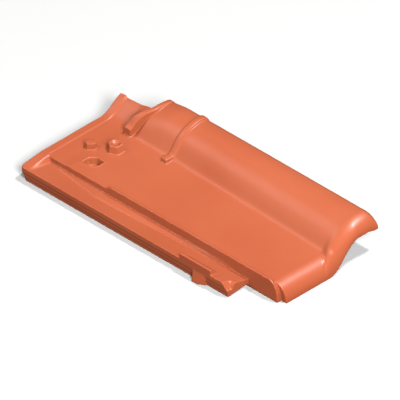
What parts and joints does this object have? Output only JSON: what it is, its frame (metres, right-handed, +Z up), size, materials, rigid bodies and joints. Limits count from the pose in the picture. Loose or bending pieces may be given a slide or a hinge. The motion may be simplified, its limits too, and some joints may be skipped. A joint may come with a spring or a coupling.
{
  "type": "clay roof tile",
  "caption": "Interlocking clay roof tile: flat pan, round roll along one side, recessed side lock along the other, ribbed head, and hanging nibs below.",
  "frame": {"origin": "middle of the tile's length and overall width, on the plane that its lips rest on", "axes": "+X across the tile from the side lock to the roll, +Y up the slope from the nose to the head, +Z up from the underside to the weather face"},
  "size_m": [0.209, 0.42, 0.06],
  "materials": {
    "fired_clay": "satin"
  },
  "bodies": {
    "root": {"roof_tile": "fired_clay"}
  },
  "joints": []
}
